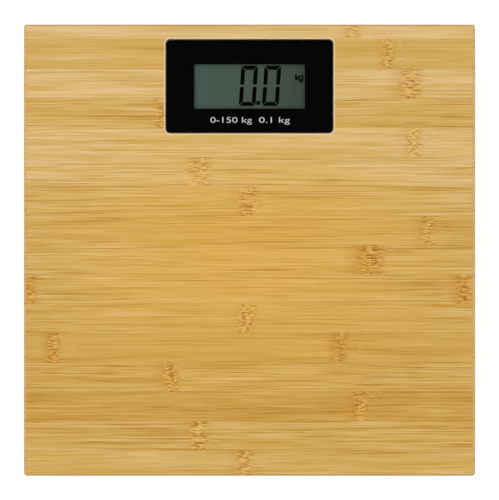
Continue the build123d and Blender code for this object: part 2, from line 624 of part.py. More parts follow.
def rear_cover():
    """The tray that closes the electronics, with battery bay, button hole and screw posts."""
    outline = (FLANGE_WIDTH, FLANGE_HEIGHT, FLANGE_CORNER_RADIUS)
    room = (COVER_ROOM_WIDTH, COVER_ROOM_HEIGHT, FLANGE_CORNER_RADIUS - COVER_WALL)
    cover = slab(*outline, COVER_BOTTOM, FLANGE_BOTTOM, 0, FLANGE_Y)
    cover = fillet(cover.faces().sort_by(Axis.Z)[0].edges(), COVER_EDGE_RADIUS)
    cover -= slab(*room, COVER_FLOOR_TOP, FLANGE_BOTTOM, 0, FLANGE_Y)
    head_seat = COVER_BOTTOM + COVER_HEAD_SINK + COVER_SCREW_HEAD
    for x, y in four_corners(COVER_SCREW_X, COVER_SCREW_Y):
        cover += post(COVER_POST_RADIUS, COVER_FLOOR_TOP, FLANGE_BOTTOM, x, y)
        cover -= post(COVER_SCREW_RADIUS + SCREW_ROOM, COVER_BOTTOM, FLANGE_BOTTOM, x, y)
        cover -= post(COVER_SCREW_HEAD_RADIUS + SCREW_ROOM, COVER_BOTTOM, head_seat, x, y)
    cover -= block(BAY_ROOM_WIDTH, BAY_ROOM_LENGTH, COVER_BOTTOM, COVER_FLOOR_TOP, BAY_X, BAY_Y)
    cover += battery_bay()
    cover -= hinge_rod(HINGE_PIN_RADIUS + HINGE_FIT, BAY_ROOM_WIDTH + 2 * BAY_WALL)
    scoop_y = BAY_Y - BAY_ROOM_LENGTH / 2 - SCOOP_LENGTH / 2
    cover -= block(SCOOP_WIDTH, SCOOP_LENGTH, COVER_BOTTOM, COVER_BOTTOM + SCOOP_DEPTH, BAY_X, scoop_y)
    collar_inner = BUTTON_RADIUS + BUTTON_LIP + BUTTON_GAP
    collar_top = COVER_FLOOR_TOP + BUTTON_PLAY + BUTTON_LIP_HEIGHT
    collar = (collar_inner + BUTTON_COLLAR_WALL, collar_inner, COVER_FLOOR_TOP, collar_top)
    cover += tube(*collar, BUTTON_X, BUTTON_Y)
    cover -= post(BUTTON_RADIUS + BUTTON_GAP, COVER_BOTTOM, COVER_FLOOR_TOP, BUTTON_X, BUTTON_Y)
    for sides in FOOT_SIDES.values():
        cover -= groove(*sides)
    return cover


def battery_lid():
    """The lid under the coin cell: a plate with a hinge barrel and pins, a latch tongue and two ribs."""
    plate_length = LID_LENGTH - HINGE_BARREL_RADIUS
    plate_y = BAY_Y - HINGE_BARREL_RADIUS / 2
    lid = block(LID_WIDTH, plate_length, COVER_BOTTOM, LID_TOP, BAY_X, plate_y)
    lid += hinge_rod(HINGE_BARREL_RADIUS, LID_WIDTH)
    lid += hinge_rod(HINGE_PIN_RADIUS, LID_WIDTH + 2 * LID_GAP + 2 * HINGE_PIN_REACH)
    for side in (-1, 1):
        rib_x = BAY_X + side * LID_RIB_SPREAD
        lid += block(LID_RIB_WIDTH, LID_RIB_LENGTH, LID_TOP, COIN_BOTTOM, rib_x, BAY_Y)
    latch_y = BAY_Y - LID_LENGTH / 2 + LATCH_INSET + LATCH_THICKNESS / 2
    return lid + block(LATCH_WIDTH, LATCH_THICKNESS, LID_TOP, LID_TOP + LATCH_HEIGHT, BAY_X, latch_y)


def coin_cell():
    """The coin cell, its smaller cap up."""
    can_top = COIN_TOP - COIN_CAP_HEIGHT
    can = post(COIN_RADIUS, COIN_BOTTOM, can_top, BAY_X, BAY_Y)
    return can + post(COIN_CAP_RADIUS, can_top, COIN_TOP, BAY_X, BAY_Y)


def positive_contact():
    """The strip beside the coin cell, up to the circuit board."""
    x = BAY_X + COIN_RADIUS + CONTACT_SIDE_GAP + CONTACT_THICKNESS / 2
    return block(CONTACT_THICKNESS, CONTACT_WIDTH, COIN_BOTTOM, CIRCUIT_BOTTOM, x, BAY_Y)


def negative_contact():
    """The strip under the bay's roof, with a dimple on the coin cell and a tab up to the circuit board."""
    strip_bottom = BAY_ROOF - CONTACT_THICKNESS
    back = BAY_Y - CONTACT_WIDTH / 2
    front = BAY_Y + CONTACT_REACH
    strip = block(CONTACT_WIDTH, front - back, strip_bottom, BAY_ROOF, BAY_X, (front + back) / 2)
    tab_y = front - CONTACT_THICKNESS / 2
    strip += block(CONTACT_WIDTH, CONTACT_THICKNESS, strip_bottom, CIRCUIT_BOTTOM, BAY_X, tab_y)
    return strip + post(CONTACT_DIMPLE_RADIUS, COIN_TOP, strip_bottom, BAY_X, BAY_Y)


def holder_cup():
    """The round cup of a foot, with its mouth lip and top plate."""
    cup = tube(HOLDER_RADIUS, HOLDER_ROOM_RADIUS, HOLDER_BOTTOM, HOLDER_TOP)
    cup = fillet(cup.faces().sort_by(Axis.Z)[0].outer_wire().edges(), HOLDER_EDGE_RADIUS)
    cup += post(HOLDER_ROOM_RADIUS, HOLDER_PLATE_BOTTOM, HOLDER_TOP)
    return cup + tube(HOLDER_ROOM_RADIUS, HOLDER_MOUTH_RADIUS, HOLDER_BOTTOM, HOLDER_LIP_TOP)


def cell_holder():
    """A foot's holder: the cup, two ledges for the load cell, stops around it, and the lead slot."""
    holder = holder_cup()
    ledge_y = CELL_SIDE / 2 - CELL_FRAME / 2
    ledge_length = CELL_SIDE - 2 * CELL_CORNER_RADIUS
    stop_reach = CELL_SIDE / 2 + CELL_GAP + HOLDER_STOP_WIDTH / 2
    for side in (-1, 1):
        holder += block(ledge_length, CELL_FRAME, CELL_TOP, HOLDER_PLATE_BOTTOM, 0, side * ledge_y)
        for spread in (-HOLDER_STOP_SPREAD, HOLDER_STOP_SPREAD):
            stop = (CELL_BOTTOM, HOLDER_PLATE_BOTTOM)
            holder += block(HOLDER_STOP_LENGTH, HOLDER_STOP_WIDTH, *stop, spread, side * stop_reach)
            holder += block(HOLDER_STOP_WIDTH, HOLDER_STOP_LENGTH, *stop, side * stop_reach, spread)
        screw_y = side * HOLDER_SCREW_REACH
        holder -= post(WOOD_SCREW_RADIUS + SCREW_ROOM, HOLDER_PLATE_BOTTOM, HOLDER_TOP, 0, screw_y)
    slot_bottom = LEAD_LEVEL - LEAD_DIAMETER / 2 - GROOVE_SIDE_ROOM
    slot_x = HOLDER_RADIUS - HOLDER_WALL / 2
    return holder - block(2 * HOLDER_WALL, GROOVE_WIDTH, slot_bottom, GROOVE_TOP, slot_x, 0)


def load_cell():
    """A load cell: a steel plate with a tongue that bends under the foot."""
    plate = slab(CELL_SIDE, CELL_SIDE, CELL_CORNER_RADIUS, CELL_BOTTOM, CELL_TOP)
    opening = CELL_SIDE - 2 * CELL_FRAME
    plate -= block(opening, opening, CELL_BOTTOM, CELL_TOP)
    plate += block(opening / 2, TONGUE_WIDTH, CELL_BOTTOM, CELL_TOP, opening / 4, 0)
    return plate + block(TONGUE_HEAD_LENGTH, TONGUE_HEAD_WIDTH, CELL_BOTTOM, CELL_TOP)


def gauge_coat():
    """The silicone over the strain gauge at the root of the tongue."""
    outline = (GAUGE_LENGTH, GAUGE_WIDTH, GAUGE_CORNER_RADIUS)
    coat = slab(*outline, CELL_TOP, CELL_TOP + GAUGE_HEIGHT, GAUGE_X, 0)
    return chamfer(coat.faces().sort_by(Axis.Z)[-1].edges(), GAUGE_CHAMFER)


def foot():
    """A foot: a hollow disc behind the holder's lip, with ribs and a boss up to the load cell."""
    body_radius = HOLDER_MOUTH_RADIUS - FOOT_GAP
    floor_top = PAD_THICKNESS + FOOT_FLOOR
    body = post(body_radius, FOOT_BOTTOM, FOOT_FLANGE_TOP)
    body = fillet(body.faces().sort_by(Axis.Z)[0].edges(), FOOT_EDGE_RADIUS)
    body += post(HOLDER_ROOM_RADIUS - FOOT_GAP, FOOT_FLANGE_BOTTOM, FOOT_FLANGE_TOP)
    hollow = post(body_radius - FOOT_RIM, floor_top, FOOT_FLANGE_TOP)
    for turn in (0, 90):
        hollow -= Rot(0, 0, turn) * block(2 * body_radius, FOOT_RIB, floor_top, FOOT_FLANGE_TOP)
    body -= hollow
    body += post(FOOT_BOSS_RADIUS, floor_top, CELL_BOTTOM)
    return body - post(PAD_RADIUS + PAD_GAP, FOOT_BOTTOM, PAD_THICKNESS)


def foot_pad():
    """The rubber pad that stands on the floor, with ring grooves."""
    pad = post(PAD_RADIUS, 0, PAD_THICKNESS)
    for radius in PAD_GROOVE_RADII:
        half = PAD_GROOVE_WIDTH / 2
        pad -= tube(radius + half, radius - half, 0, PAD_GROOVE_DEPTH)
    return pad


def leads(offset):
    """The leads of one colour, one from each load cell, at the same place in every groove."""
    section = Circle(LEAD_DIAMETER / 2)
    return group([along(lead_route(*sides, offset), section) for sides in FOOT_SIDES.values()])


def solder_joints():
    """A drop of solder at the circuit-board end of every lead."""
    drops = []
    bottom = LEAD_LEVEL - LEAD_DIAMETER / 2
    for sides in FOOT_SIDES.values():
        for offset in (-LEAD_PITCH, 0, LEAD_PITCH):
            end = lead_route(*sides, offset) @ 1
            along_way = lead_route(*sides, offset) % 1
            centre = end + along_way * SOLDER_RADIUS
            drops.append(post(SOLDER_RADIUS, bottom, CIRCUIT_BOTTOM, centre.X, centre.Y))
    return group(drops)


def groove_tapes():
    """Tape patches over the grooves."""
    holder_edge = FOOT_X - HOLDER_RADIUS
    side_run = holder_edge - FLANGE_WIDTH / 2
    side_x = holder_edge - side_run / 2
    front_x = (holder_edge + LEAD_RUN_X + LEAD_BEND) / 2
    run_start = -FOOT_Y + LEAD_BEND
    run_end = FLANGE_Y - FLANGE_HEIGHT / 2
    heights = (UNDERSIDE - TAPE_PATCH_THICKNESS, UNDERSIDE)
    patches = []
    for side in (-1, 1):
        side_length = side_run * TAPE_SIDE_SHARE
        patches.append(block(side_length, TAPE_PATCH_LENGTH, *heights, side * side_x, FOOT_Y))
        patches.append(block(TAPE_PATCH_WIDTH, TAPE_PATCH_LENGTH, *heights, side * front_x, -FOOT_Y))
        for share in TAPE_PATCH_SHARES:
            y = run_start + share * (run_end - run_start)
            patches.append(block(TAPE_PATCH_LENGTH, TAPE_PATCH_WIDTH, *heights, side * LEAD_RUN_X, y))
    return group(patches)


def frame_screws():
    """The wood screws that hold the frame in the platform."""
    length = FLANGE_THICKNESS + FRAME_SCREW_BITE
    one = screw(WOOD_SCREW_RADIUS, WOOD_SCREW_HEAD_RADIUS, WOOD_SCREW_HEAD, length)
    places = four_corners(FRAME_SCREW_X, FRAME_SCREW_SPREAD)
    return group([Pos(x, y, FLANGE_BOTTOM) * one for x, y in places])


def holder_screws():
    """The wood screws that hold the foot holders, two to each."""
    length = HOLDER_PLATE + HOLDER_SCREW_BITE
    one = screw(WOOD_SCREW_RADIUS, WOOD_SCREW_HEAD_RADIUS, WOOD_SCREW_HEAD, length)
    screws = []
    for side in (-1, 1):
        screws += on_each_foot(Pos(0, side * HOLDER_SCREW_REACH, HOLDER_PLATE_BOTTOM) * one)
    return group(screws)


def cover_screws():
    """The screws that hold the rear cover to the frame."""
    seat = COVER_BOTTOM + COVER_HEAD_SINK + COVER_SCREW_HEAD
    length = PLATE_BOTTOM - SCREW_END_ROOM - seat
    one = screw(COVER_SCREW_RADIUS, COVER_SCREW_HEAD_RADIUS, COVER_SCREW_HEAD, length)
    places = four_corners(COVER_SCREW_X, COVER_SCREW_Y)
    return group([Pos(x, y, seat) * one for x, y in places])


def circuit_board_screws():
    """The screws that press the circuit board against display and frame."""
    length = PLATE_BOTTOM - SCREW_END_ROOM - CIRCUIT_BOTTOM
    one = screw(CIRCUIT_SCREW_RADIUS, CIRCUIT_SCREW_HEAD_RADIUS, CIRCUIT_SCREW_HEAD, length)
    places = four_corners(CIRCUIT_SCREW_X, CIRCUIT_SCREW_Y)
    return group([Pos(x, y, CIRCUIT_BOTTOM) * one for x, y in places])


save("bamboo_board", bamboo_board())
save("display_lens", display_lens())
save("lens_print", lens_print())
save("lens_tape", lens_tape())
save("display_frame", display_frame())
save("lcd_polariser", lcd_layer(LCD_HEIGHT, FRONT_GLASS_TOP, PLATE_BOTTOM))
save("lcd_front_glass", lcd_layer(LCD_HEIGHT, FRONT_GLASS_BOTTOM, FRONT_GLASS_TOP))
save("lcd_rear_glass", lcd_layer(LCD_HEIGHT - 2 * LCD_LEDGE, REAR_GLASS_BOTTOM, FRONT_GLASS_BOTTOM))
save("lcd_reflector", lcd_layer(LCD_HEIGHT - 2 * LCD_LEDGE, REFLECTOR_BOTTOM, REAR_GLASS_BOTTOM))
save("lcd_segments", lcd_segments())
save("zebra_strips", zebra_strips())
save("circuit_board", circuit_board())
save("controller_blob", controller_blob())
save("board_components", board_components())
save("switch_body", switch_body())
save("switch_plunger", switch_plunger())
save("unit_button", unit_button())
save("rear_cover", rear_cover())
save("battery_lid", battery_lid())
save("coin_cell", coin_cell())
save("positive_contact", positive_contact())
save("negative_contact", negative_contact())
save("red_leads", leads(LEAD_PITCH))
save("white_leads", leads(0))
save("black_leads", leads(-LEAD_PITCH))
save("solder_joints", solder_joints())
save("groove_tapes", groove_tapes())
save("frame_screws", frame_screws())
save("holder_screws", holder_screws())
save("cover_screws", cover_screws())
save("circuit_board_screws", circuit_board_screws())
for name, sides in FOOT_SIDES.items():
    place = foot_place(*sides)
    save("cell_holder_" + name, place * cell_holder())
    save("load_cell_" + name, place * load_cell())
    save("gauge_coat_" + name, place * gauge_coat())
    save("foot_" + name, place * foot())
    save("foot_pad_" + name, place * foot_pad())
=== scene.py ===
"""A digital bathroom scale: a bamboo platform on four load-cell feet, with a black display panel let in."""
import json
import bmesh
import bpy
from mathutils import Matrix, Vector


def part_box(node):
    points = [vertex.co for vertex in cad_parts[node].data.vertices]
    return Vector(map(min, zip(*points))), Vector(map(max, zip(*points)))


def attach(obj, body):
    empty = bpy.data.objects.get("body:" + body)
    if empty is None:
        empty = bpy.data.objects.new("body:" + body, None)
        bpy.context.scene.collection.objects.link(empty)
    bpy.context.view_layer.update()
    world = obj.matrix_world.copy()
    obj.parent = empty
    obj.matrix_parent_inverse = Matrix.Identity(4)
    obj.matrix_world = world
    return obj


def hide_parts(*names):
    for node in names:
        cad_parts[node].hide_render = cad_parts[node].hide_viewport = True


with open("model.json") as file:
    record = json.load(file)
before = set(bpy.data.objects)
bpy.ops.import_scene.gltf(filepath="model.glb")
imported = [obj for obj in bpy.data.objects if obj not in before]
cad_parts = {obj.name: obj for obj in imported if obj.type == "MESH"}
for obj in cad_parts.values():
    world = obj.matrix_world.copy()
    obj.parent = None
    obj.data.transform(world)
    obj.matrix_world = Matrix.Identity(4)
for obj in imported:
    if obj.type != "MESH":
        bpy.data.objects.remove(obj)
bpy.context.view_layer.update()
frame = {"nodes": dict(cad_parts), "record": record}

MM = 0.001

# Board, in millimetres
BOARD_HALF = 150.0
BOARD_BOTTOM = 12.0
BOARD_TOP = 24.0
STRIP_WIDTH = 19.5
FIRST_SEAM_Y = 140.0
PLY_THICKNESS = 4.0
PLY_SHIFT = 0.37
LAST_PLY = 2.0
END_GRAIN_DEPTH = 2.1
# Width of the painted shade on the long sides' rounded edges
SIDE_SHADE_WIDTH = 1.5
EDGE_FADE = 0.8
GLUE_LINE = 0.4
# How pale each strip is, from the display end to the front
STRIP_TONES = [0.84, 0.56, 0.78, 0.53, 0.78, 0.78, 0.6, 0.48, 0.59, 0.54, 0.5, 0.35, 0.45, 0.23, 0.53, 0.56]
STRIP_COUNT = len(STRIP_TONES)
# How strong the grain of each strip is
STRIP_GRAIN = [0.34, 0.38, 0.52, 1.02, 0.74, 0.98, 1.04, 0.99, 1.06, 1.1, 0.99, 0.57, 1.12, 1.03, 1.14, 0.68]
STRONGEST_GRAIN = 2.0
# Where each strip's knuckle lies along X, how brown it is, and its half width
KNUCKLES = [69, 92, 107, -58, 109, -33, 0, 119, 81, 143, -2, -130, -52, 74, -33, -3]
KNUCKLE_BROWN = [0.25, 0.4, 0.5, 0.2, 0.2, 0.1, 0.4, 0.5, 0.9, 1.0, 0.2, 0.8, 0.6, 0.65, 0.3, 0.4]
KNUCKLE_HALVES = [5, 4, 7, 4, 5, 7, 6.5, 4.5, 8, 5, 6, 4, 4.5, 4.5, 5.5, 5]
WIDEST_KNUCKLE = 10.0
KNUCKLE_WANDER = 7.0
BURIED_SHIFT = 80.0
# The fainter second knuckle of the strips that have two
SECOND_KNUCKLES = {9: -147, 11: 61}
OFF_BOARD = 195.0
# Length along X and width of the marks in the wood
BROAD_MARK = (70.0, 5.0)
PATCH_MARK = (95.0, 6.0)
FIBRE_MARK = (80.0, 0.9)
HAIR_MARK = (22.0, 0.42)
LINE_MARK = (76.0, 0.62)
GLEAM_MARK = (42.0, 0.7)
# The more golden middle of the board
HEART_Y = -5.0
HEART_HALF_X = 120.0
HEART_HALF_Y = 85.0

# Display panel, in millimetres
PANEL_CENTRE_Y = 109.0
PANEL_WIDTH = 111.2
PANEL_HEIGHT = 62.2
PANEL_CORNER = 3.0
PANEL_TOP = 23.8
CUT_OUT_GAP = 0.3
CUT_OUT_RIM = 0.95
LENS_LIFT = 0.06
LENS_RIM = 0.35
WINDOW_HALF_WIDTH = 36.9
PRINT_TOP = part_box("lens_print")[1].z / MM
FILM_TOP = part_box("lcd_polariser")[1].z / MM
# Name, words, left end and right end
RANGE_MARKS = [("range_mark", "0-150 kg", -26.0, 1.6), ("step_mark", "0.1 kg", 6.4, 26.8)]
MARK_FOOT_Y = 84.8
MARK_CAP_HEIGHT = 3.8
MARK_WEIGHT = -0.008
MARK_LIFT = 0.02
UNIT_WORDS = "k\u0261"
UNIT_MARK_X = (30.4, 35.9)
UNIT_MARK_FOOT_Y = 113.3
UNIT_CAP_HEIGHT = 4.3
UNIT_WEIGHT = 0.045
UNIT_LIFT = 0.03

# Trim on the battery lid, in millimetres
TRIM_SINK = 0.1
RIB_LENGTH = 12.0
RIB_WIDTH = 0.9
RIB_STAND = 0.4
RIB_CORNER = 0.4
RIB_EDGE = 0.15
RIB_COUNT = 3
RIB_PITCH = 2.0
FIRST_RIB_INSET = 6.0
PLUS_INSET = 10.0
PLUS_BAR = 1.2
PLUS_ARM = 1.8
PLUS_STAND = 0.2

# Tread of the foot pads, in millimetres
TREAD_RADII = (13.0, 7.0)
TREAD_HALF_MOUTH = 0.8
TREAD_HALF_FLOOR = 0.6
TREAD_DEPTH = 0.7
PAD_RIM = 0.45
PAD_SIDES = 96

# Camera, framed on the board's span in the photograph
PHOTO_SIDE_PX = 500
BOARD_SPAN_PX = 451.65
PHOTO_DROP_PX = 0.15
LENS_MM = 100.0
SENSOR_MM = 36.0

# Light, in metres and watts: name, place, power and size of each lamp
LAMPS = [
    ("key", (-1.5, 1.25, 1.6), 19.0, 1.8),
    ("fill_right", (1.7, 0.6, 1.5), 10.0, 2.0),
    ("fill_front_left", (-1.1, -1.5, 1.5), 10.0, 2.0),
    ("fill_front_right", (1.1, -1.6, 1.5), 9.0, 2.0),
    ("under_left", (-0.9, 0.7, -1.3), 13.0, 1.6),
    ("under_right", (0.9, -0.8, -1.3), 13.0, 1.6),
]
DOME_LIGHT = 0.6
DARK_OPENING = 0.93
FLOOR_SIZE = 12.0
FLOOR_DROP = 0.0003
FLOOR_GREY = (0.62, 0.62, 0.62, 1.0)


# Shader building blocks

def paint(red, green, blue):
    """A colour as seen on screen, 0 to 255, turned into a shader colour."""
    def straight(level):
        level = level / 255
        return level / 12.92 if level <= 0.04045 else ((level + 0.055) / 1.055) ** 2.4
    return (straight(red), straight(green), straight(blue), 1.0)


class Value:
    """A number that varies over a surface; arithmetic on it adds Math nodes."""

    def __init__(self, nodes, socket):
        self.nodes = nodes
        self.socket = socket

    def math(self, operation, *terms):
        return self.nodes.node("ShaderNodeMath", {"operation": operation}, dict(enumerate(terms)))

    def __add__(self, other):
        return self.math("ADD", self, other)

    def __radd__(self, other):
        return self.math("ADD", other, self)

    def __sub__(self, other):
        return self.math("SUBTRACT", self, other)

    def __rsub__(self, other):
        return self.math("SUBTRACT", other, self)

    def __mul__(self, other):
        return self.math("MULTIPLY", self, other)

    def __truediv__(self, other):
        return self.math("DIVIDE", self, other)

    def floor(self):
        return self.math("FLOOR", self)

    def fraction(self):
        return self.math("FRACT", self)

    def size(self):
        return self.math("ABSOLUTE", self)

    def root(self):
        return self.math("SQRT", self)

    def least(self, other):
        return self.math("MINIMUM", self, other)

    def most(self, other):
        return self.math("MAXIMUM", self, other)

    def below(self, other):
        return self.math("LESS_THAN", self, other)

    def clip(self):
        return self.most(0.0).least(1.0)


class Nodes:
    """A node tree being written."""

    def __init__(self, tree):
        self.tree = tree

    def node(self, kind, settings=None, sockets=None, out=0):
        made = self.tree.nodes.new(kind)
        for name, setting in (settings or {}).items():
            if name == "stops":
                self.fill_ramp(made.color_ramp, setting)
            else:
                setattr(made, name, setting)
        for name, value in (sockets or {}).items():
            self.feed(made.inputs[name], value)
        return Value(self, made.outputs[out])

    def feed(self, socket, value):
        if isinstance(value, Value):
            self.tree.links.new(value.socket, socket)
        else:
            socket.default_value = value

    def fill_ramp(self, ramp, stops):
        while len(ramp.elements) < len(stops):
            ramp.elements.new(1.0)
        for element, (place, colour) in zip(ramp.elements, stops):
            element.position = place
            element.color = colour

    def vector(self, x, y, z):
        return self.node("ShaderNodeCombineXYZ", None, {0: x, 1: y, 2: z})

    def axes(self, vector):
        return [self.node("ShaderNodeSeparateXYZ", None, {0: vector}, out) for out in range(3)]

    def noise(self, vector, detail=2.0, roughness=0.5, distortion=0.0):
        sockets = {"Vector": vector, "Scale": 1.0, "Detail": detail, "Roughness": roughness,
                   "Distortion": distortion}
        return self.node("ShaderNodeTexNoise", None, sockets)

    def ramp(self, factor, stops):
        return self.node("ShaderNodeValToRGB", {"stops": stops}, {0: factor})

    def mix(self, factor, first, second):
        return self.node("ShaderNodeMix", {"data_type": "RGBA"}, {0: factor, 6: first, 7: second}, 2)


class Finish(Nodes):
    """A material made of one Principled shader and what feeds it."""

    def __init__(self, name, **constants):
        self.material = bpy.data.materials.new(name)
        self.material.use_nodes = True
        super().__init__(self.material.node_tree)
        self.shader = self.tree.nodes["Principled BSDF"]
        for socket, value in constants.items():
            self.shader.inputs[socket.replace("_", " ")].default_value = value

    def millimetres(self):
        """The surface point in millimetres, as a vector."""
        return self.scaled(1000.0)

    def scaled(self, factor):
        """The surface point in metres times a factor, as a vector."""
        place = self.node("ShaderNodeTexCoord", None, None, "Object")
        return self.node("ShaderNodeVectorMath", {"operation": "SCALE"}, {0: place, "Scale": factor})

    def give(self, socket, value):
        self.feed(self.shader.inputs[socket], value)

    def bump(self, height, strength, depth):
        sockets = {"Height": height, "Strength": strength, "Distance": depth}
        self.give("Normal", self.node("ShaderNodeBump", None, sockets))

    def surface(self, factor, first, second):
        """Shows a mix of two shaders instead of the Principled shader alone."""
        mixed = self.node("ShaderNodeMixShader", None, {0: factor, 1: first, 2: second})
        self.feed(self.tree.nodes["Material Output"].inputs["Surface"], mixed)

    def principled(self):
        return Value(self, self.shader.outputs[0])


# Bamboo

WOOD_SHADES = [
    (0.0, paint(184, 132, 40)), (0.3, paint(202, 155, 66)), (0.6, paint(210, 168, 84)),
    (0.85, paint(218, 180, 108)), (1.0, paint(226, 192, 132))]
HEART_GOLD = paint(226, 173, 72)
STREAK_BROWN = paint(178, 126, 34)
GLEAM_CREAM = paint(236, 202, 136)
SHADE_BROWN = paint(194, 136, 40)
KNUCKLE_TAN = paint(204, 148, 48)
KNUCKLE_DARK = paint(150, 90, 4)
KNUCKLE_PALE = paint(244, 202, 116)
GLUE_BROWN = paint(160, 106, 42)
END_TAN = paint(210, 169, 114)
END_PORE = paint(140, 94, 50)
END_BUNDLE = paint(146, 98, 58)
END_GLUE = paint(130, 86, 38)
# Painted shade for the long sides and their rounded edges
SIDE_SHADE_BROWN = paint(164, 118, 66)
# Bare cut wood on the cut-out's chamfer, painted near-white as a painted highlight
RIM_HIGHLIGHT_CREAM = paint(250, 230, 196)


class Bamboo(Finish):
    """Satin-lacquered bamboo: strips along X with fibres and knuckles, three plies deep."""

    def __init__(self):
        super().__init__("bamboo_lacquered", IOR=1.45)
        self.x, self.y, self.z = self.axes(self.millimetres())
        self.lay_strips()
        self.place_knuckles()
        self.grow_fibres()
        self.find_edges()
        colour = self.fibre_colour()
        colour = self.knuckle_colour(colour)
        colour = self.edge_colour(colour)
        self.give("Base Color", colour)
        self.give("Roughness", 0.4 + (self.fibre - 0.5) * 0.25 + self.at_end * 0.25)
        self.bump(self.fibre * 0.5 + self.crinkle * self.near * 0.8 - self.streak * 0.3, 0.25, 0.00012)

    def lay_strips(self):
        """Which ply and strip a point is in. A lane is one strip of one ply."""
        self.ply = (self.z - BOARD_BOTTOM) / PLY_THICKNESS
        depth = LAST_PLY - self.ply.floor().least(LAST_PLY).most(0.0)
        self.buried = depth.least(1.0)
        self.across = (FIRST_SEAM_Y + STRIP_WIDTH - self.y) / STRIP_WIDTH + depth * PLY_SHIFT
        self.strip = self.across.floor()
        self.lane = self.strip + depth * 31
        self.chance = self.node("ShaderNodeTexWhiteNoise", {"noise_dimensions": "1D"},
                                {"W": self.lane * 1.37 + 0.5})

    def by_strip(self, numbers):
        """One number, 0 to 1, for each strip, held in a stepped ramp."""
        stops = [(index / STRIP_COUNT, (number, number, number, 1.0)) for index, number in enumerate(numbers)]
        steps = self.ramp((self.strip + 0.5) / STRIP_COUNT, stops)
        steps.socket.node.color_ramp.interpolation = "CONSTANT"
        return self.node("ShaderNodeRGBToBW", None, {0: steps})

    def place_by_strip(self, places):
        """One X place for each strip, on the board or a little beside it."""
        reach = 2 * BOARD_HALF
        return self.by_strip([(place + reach) / (2 * reach) for place in places]) * (2 * reach) - reach

    def place_knuckles(self):
        """The crinkled bands across the strips, shaded on one side and trailing off on the other."""
        first = self.place_by_strip(KNUCKLES)
        second = self.place_by_strip([SECOND_KNUCKLES.get(index, OFF_BOARD) for index in range(STRIP_COUNT)])
        first_is_near = (self.x - first).size().below((self.x - second).size())
        middle = second + first_is_near * (first - second)
        middle = middle + self.buried * (self.chance * 2 - 1) * BURIED_SHIFT
        wander = (self.noise(self.vector(self.lane * 3.7, self.y / 3.0, 0.0)) - 0.5) * KNUCKLE_WANDER
        away = self.x - middle + wander
        half = self.by_strip([half / WIDEST_KNUCKLE for half in KNUCKLE_HALVES]) * WIDEST_KNUCKLE
        self.near = (1.4 - away.size() / half).clip() * (0.85 + first_is_near * 0.15)
        self.shade = (1.1 - (away + half).size() / (half + 2)).clip()
        self.trail = (1.1 - (away - half - 5).size() / 9).clip()
        self.brown = self.by_strip(KNUCKLE_BROWN)
        fold = self.vector(self.x / (2.6 + self.chance * 2.6), self.y / 0.85, self.lane * 1.9)
        self.crinkle = self.noise(fold, 2.0, 0.5, 0.4)

    def drawn_out(self, across, mark, detail=1.0, roughness=0.5, shift=0.0):
        """Noise in marks of a length along X and a width."""
        length, width = mark
        run = (self.x + self.lane * 137) / length + shift
        return self.noise(self.vector(run, across / width, self.z / width), detail, roughness)

    def grow_fibres(self):
        """Fibres that swerve a little at the knuckles, with dark lines and pale gleams among them."""
        swerve = self.noise(self.vector(self.x / 24, self.y / 8, self.lane * 2.3)) - 0.5
        sway = self.y + swerve * (0.3 + self.near * 2.6)
        self.broad = self.drawn_out(self.y, BROAD_MARK)
        self.fibre = self.drawn_out(sway, FIBRE_MARK, 2.0, 0.55)
        self.hair = self.drawn_out(sway, HAIR_MARK)
        lines = self.drawn_out(sway, LINE_MARK, shift=50)
        gleams = self.drawn_out(sway, GLEAM_MARK, shift=90)
        self.strength = self.grain_strength()
        self.streak = ((lines - 0.57) * 10).clip() * (0.5 + self.chance * 0.5) * self.strength
        self.gleam = ((gleams - 0.6) * 9).clip() * self.strength

    def grain_strength(self):
        """How strongly the fibres show: each strip has its own strength, in long patches."""
        strength = self.by_strip([grain / STRONGEST_GRAIN for grain in STRIP_GRAIN]) * STRONGEST_GRAIN
        patch = self.drawn_out(self.y, PATCH_MARK, shift=20)
        return strength * (0.55 + ((patch - 0.35) * 3.3).clip() * 0.85)

    def find_edges(self):
        """The glue between strips and plies, the cut ends, the long sides' painted shade and the cut-out
        rim's painted highlight.
        """
        from_seam = (0.5 - (self.across.fraction() - 0.5).size()) * STRIP_WIDTH
        patchy = self.noise(self.vector(self.x / 24, self.lane * 5.3, 0.0), 1.0)
        seam = (1 - from_seam / GLUE_LINE).clip() * (patchy * 1.6 - 0.3).clip()
        from_ply = (0.5 - (self.ply.fraction() - 0.5).size()) * PLY_THICKNESS
        inside = (self.ply - 1.5).size().below(1.4)
        self.glue = seam.most((1 - from_ply / GLUE_LINE).clip() * inside)
        self.at_end = ((self.x.size() - (BOARD_HALF - END_GRAIN_DEPTH)) / EDGE_FADE).clip()
        # Mask of the painted shade on the long sides
        self.side_shade = ((self.y.size() - (BOARD_HALF - SIDE_SHADE_WIDTH)) / EDGE_FADE).clip()
        # The cut-out's chamfer, bare wood, carries a painted highlight near the top
        near_top = (self.z - (BOARD_TOP - 1.0)).clip()
        self.rim_highlight = self.beside_panel() * near_top

    def beside_panel(self):
        """1 on the bare wood right beside the display panel, 0 elsewhere; it places the rim's painted
        highlight.
        """
        corner = PANEL_CORNER + CUT_OUT_GAP
        past_x = (self.x.size() - (PANEL_WIDTH / 2 + CUT_OUT_GAP - corner)).most(0.0)
        past_y = ((self.y - PANEL_CENTRE_Y).size() - (PANEL_HEIGHT / 2 + CUT_OUT_GAP - corner)).most(0.0)
        away = (past_x * past_x + past_y * past_y).root() - corner
        return ((CUT_OUT_RIM - away) / 0.3).clip()

